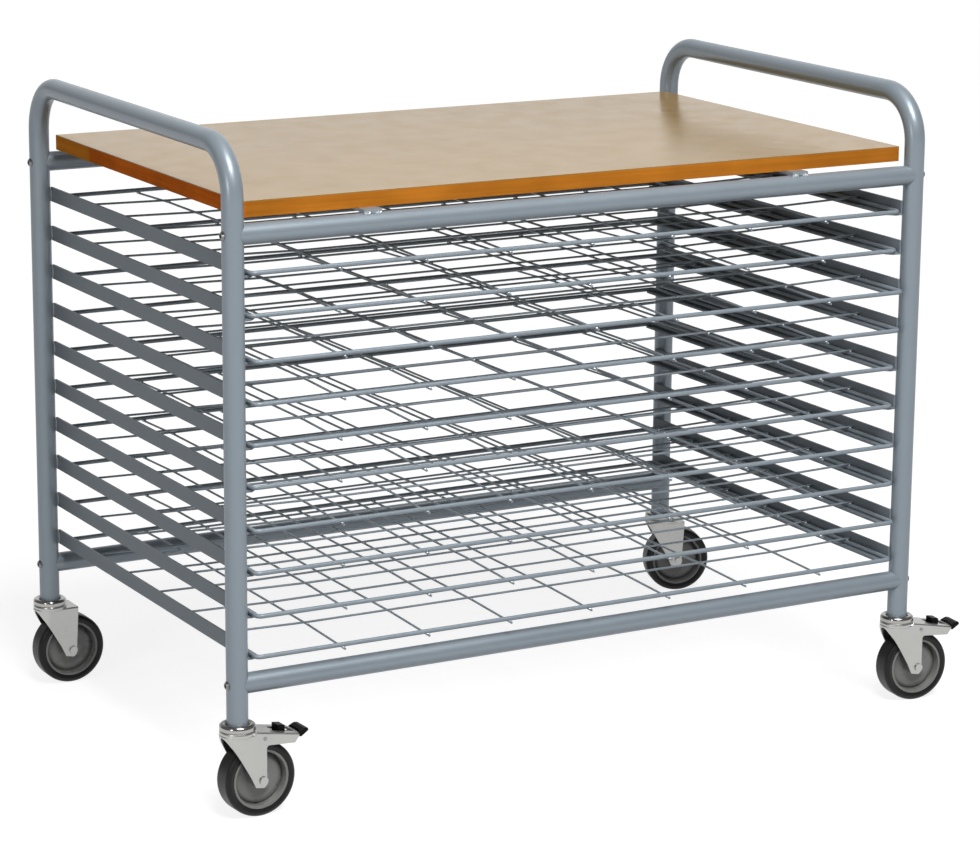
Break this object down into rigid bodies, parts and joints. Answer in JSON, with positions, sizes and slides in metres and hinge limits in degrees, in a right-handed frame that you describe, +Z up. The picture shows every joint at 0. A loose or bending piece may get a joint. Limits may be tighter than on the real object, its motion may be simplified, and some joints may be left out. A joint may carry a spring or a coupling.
{
  "type": "art drying rack",
  "caption": "Mobile drying rack for paintings: two bent-tube side frames with push handles, loose wire shelves on angle rails, a wooden table top and swivel castors with foot brakes",
  "frame": {"origin": "on the floor, in the middle of the rack's overall length and depth with its castors as they stand", "axes": "+Z up, X along the long side, front towards -Y"},
  "size_m": [1.1466, 0.683, 0.876],
  "materials": {
    "frame_paint": "silver-grey powder coat, satin",
    "rail_paint": "silver-grey powder coat, satin",
    "shelf_wire": "silver-grey powder coat on steel wire",
    "steel": "plain steel",
    "zinc": "zinc-plated pressed steel, satin",
    "bright_zinc": "bright zinc plate",
    "laminate": "glossy beige laminate",
    "lipping_wood": "lacquered orange-brown wood",
    "socket_plastic": "moulded",
    "wheel_plastic": "moulded grey",
    "tyre": "dark grey rubber, slight sheen",
    "black_plastic": "moulded black"
  },
  "bodies": {
    "frame": {"left_side_frame": "frame_paint", "right_side_frame": "frame_paint", "front_bottom_tube": "frame_paint", "rear_bottom_tube": "frame_paint", "front_top_tube": "frame_paint", "rear_top_tube": "frame_paint", "left_shelf_rails": "rail_paint", "right_shelf_rails": "rail_paint", "tube_inserts": "steel", "frame_screws": "zinc", "table_lugs": "frame_paint", "lug_screws": "zinc", "table_board": "laminate", "table_lipping": "lipping_wood", "front_left_castor_socket": "socket_plastic", "front_left_castor_head": "bright_zinc", "front_right_castor_socket": "socket_plastic", "front_right_castor_head": "bright_zinc", "rear_left_castor_socket": "socket_plastic", "rear_left_castor_head": "bright_zinc", "rear_right_castor_socket": "socket_plastic", "rear_right_castor_head": "bright_zinc"},
    "loose_shelf_01": {"shelf_01": "shelf_wire"},
    "loose_shelf_02": {"shelf_02": "shelf_wire"},
    "loose_shelf_03": {"shelf_03": "shelf_wire"},
    "loose_shelf_04": {"shelf_04": "shelf_wire"},
    "loose_shelf_05": {"shelf_05": "shelf_wire"},
    "loose_shelf_06": {"shelf_06": "shelf_wire"},
    "loose_shelf_07": {"shelf_07": "shelf_wire"},
    "loose_shelf_08": {"shelf_08": "shelf_wire"},
    "loose_shelf_09": {"shelf_09": "shelf_wire"},
    "loose_shelf_10": {"shelf_10": "shelf_wire"},
    "front_left_castor": {"front_left_fork": "zinc", "front_left_axle_bolt": "zinc", "front_left_axle_nut": "zinc", "front_left_brake_pin": "steel"},
    "front_left_wheel": {"front_left_wheel_centre": "wheel_plastic", "front_left_tyre": "tyre"},
    "front_left_brake": {"front_left_brake_lever": "steel", "front_left_brake_pedal": "black_plastic"},
    "front_right_castor": {"front_right_fork": "zinc", "front_right_axle_bolt": "zinc", "front_right_axle_nut": "zinc", "front_right_brake_pin": "steel"},
    "front_right_wheel": {"front_right_wheel_centre": "wheel_plastic", "front_right_tyre": "tyre"},
    "front_right_brake": {"front_right_brake_lever": "steel", "front_right_brake_pedal": "black_plastic"},
    "rear_left_castor": {"rear_left_fork": "zinc", "rear_left_axle_bolt": "zinc", "rear_left_axle_nut": "zinc"},
    "rear_left_wheel": {"rear_left_wheel_centre": "wheel_plastic", "rear_left_tyre": "tyre"},
    "rear_right_castor": {"rear_right_fork": "zinc", "rear_right_axle_bolt": "zinc", "rear_right_axle_nut": "zinc"},
    "rear_right_wheel": {"rear_right_wheel_centre": "wheel_plastic", "rear_right_tyre": "tyre"}
  },
  "joints": [
    {"name": "shelf_01_slide", "type": "slide", "parent": "frame", "child": "loose_shelf_01", "axis": [0, -1, 0], "range_m": [-0.66, 0.66]},
    {"name": "shelf_02_slide", "type": "slide", "parent": "frame", "child": "loose_shelf_02", "axis": [0, -1, 0], "range_m": [-0.66, 0.66]},
    {"name": "shelf_03_slide", "type": "slide", "parent": "frame", "child": "loose_shelf_03", "axis": [0, -1, 0], "range_m": [-0.66, 0.66]},
    {"name": "shelf_04_slide", "type": "slide", "parent": "frame", "child": "loose_shelf_04", "axis": [0, -1, 0], "range_m": [-0.66, 0.66]},
    {"name": "shelf_05_slide", "type": "slide", "parent": "frame", "child": "loose_shelf_05", "axis": [0, -1, 0], "range_m": [-0.66, 0.66]},
    {"name": "shelf_06_slide", "type": "slide", "parent": "frame", "child": "loose_shelf_06", "axis": [0, -1, 0], "range_m": [-0.66, 0.66]},
    {"name": "shelf_07_slide", "type": "slide", "parent": "frame", "child": "loose_shelf_07", "axis": [0, -1, 0], "range_m": [-0.66, 0.66]},
    {"name": "shelf_08_slide", "type": "slide", "parent": "frame", "child": "loose_shelf_08", "axis": [0, -1, 0], "range_m": [-0.66, 0.66]},
    {"name": "shelf_09_slide", "type": "slide", "parent": "frame", "child": "loose_shelf_09", "axis": [0, -1, 0], "range_m": [-0.66, 0.66]},
    {"name": "shelf_10_slide", "type": "slide", "parent": "frame", "child": "loose_shelf_10", "axis": [0, -1, 0], "range_m": [-0.66, 0.66]},
    {"name": "front_left_swivel", "type": "hinge", "parent": "frame", "child": "front_left_castor", "pos_m": [-0.54875, -0.315, 0.122], "axis": [0, 0, 1], "continuous": true},
    {"name": "front_left_roll", "type": "hinge", "parent": "front_left_castor", "child": "front_left_wheel", "pos_m": [-0.52279, -0.31364, 0.05], "axis": [-0.0523, 0.9986, 0], "continuous": true},
    {"name": "front_left_brake_press", "type": "hinge", "parent": "front_left_castor", "child": "front_left_brake", "pos_m": [-0.51979, -0.31348, 0.1055], "axis": [-0.0523, 0.9986, 0], "range_deg": [0, 8]},
    {"name": "front_right_swivel", "type": "hinge", "parent": "frame", "child": "front_right_castor", "pos_m": [0.47725, -0.315, 0.122], "axis": [0, 0, 1], "continuous": true},
    {"name": "front_right_roll", "type": "hinge", "parent": "front_right_castor", "child": "front_right_wheel", "pos_m": [0.50315, -0.31727, 0.05], "axis": [0.0872, 0.9962, 0], "continuous": true},
    {"name": "front_right_brake_press", "type": "hinge", "parent": "front_right_castor", "child": "front_right_brake", "pos_m": [0.50614, -0.31753, 0.1055], "axis": [0.0872, 0.9962, 0], "range_deg": [0, 8]},
    {"name": "rear_left_swivel", "type": "hinge", "parent": "frame", "child": "rear_left_castor", "pos_m": [-0.54875, 0.315, 0.122], "axis": [0, 0, 1], "continuous": true},
    {"name": "rear_left_roll", "type": "hinge", "parent": "rear_left_castor", "child": "rear_left_wheel", "pos_m": [-0.52275, 0.315, 0.05], "axis": [0, 1, 0], "continuous": true},
    {"name": "rear_right_swivel", "type": "hinge", "parent": "frame", "child": "rear_right_castor", "pos_m": [0.47725, 0.315, 0.122], "axis": [0, 0, 1], "continuous": true},
    {"name": "rear_right_roll", "type": "hinge", "parent": "rear_right_castor", "child": "rear_right_wheel", "pos_m": [0.50198, 0.30697, 0.05], "axis": [0.309, 0.9511, 0], "continuous": true}
  ]
}
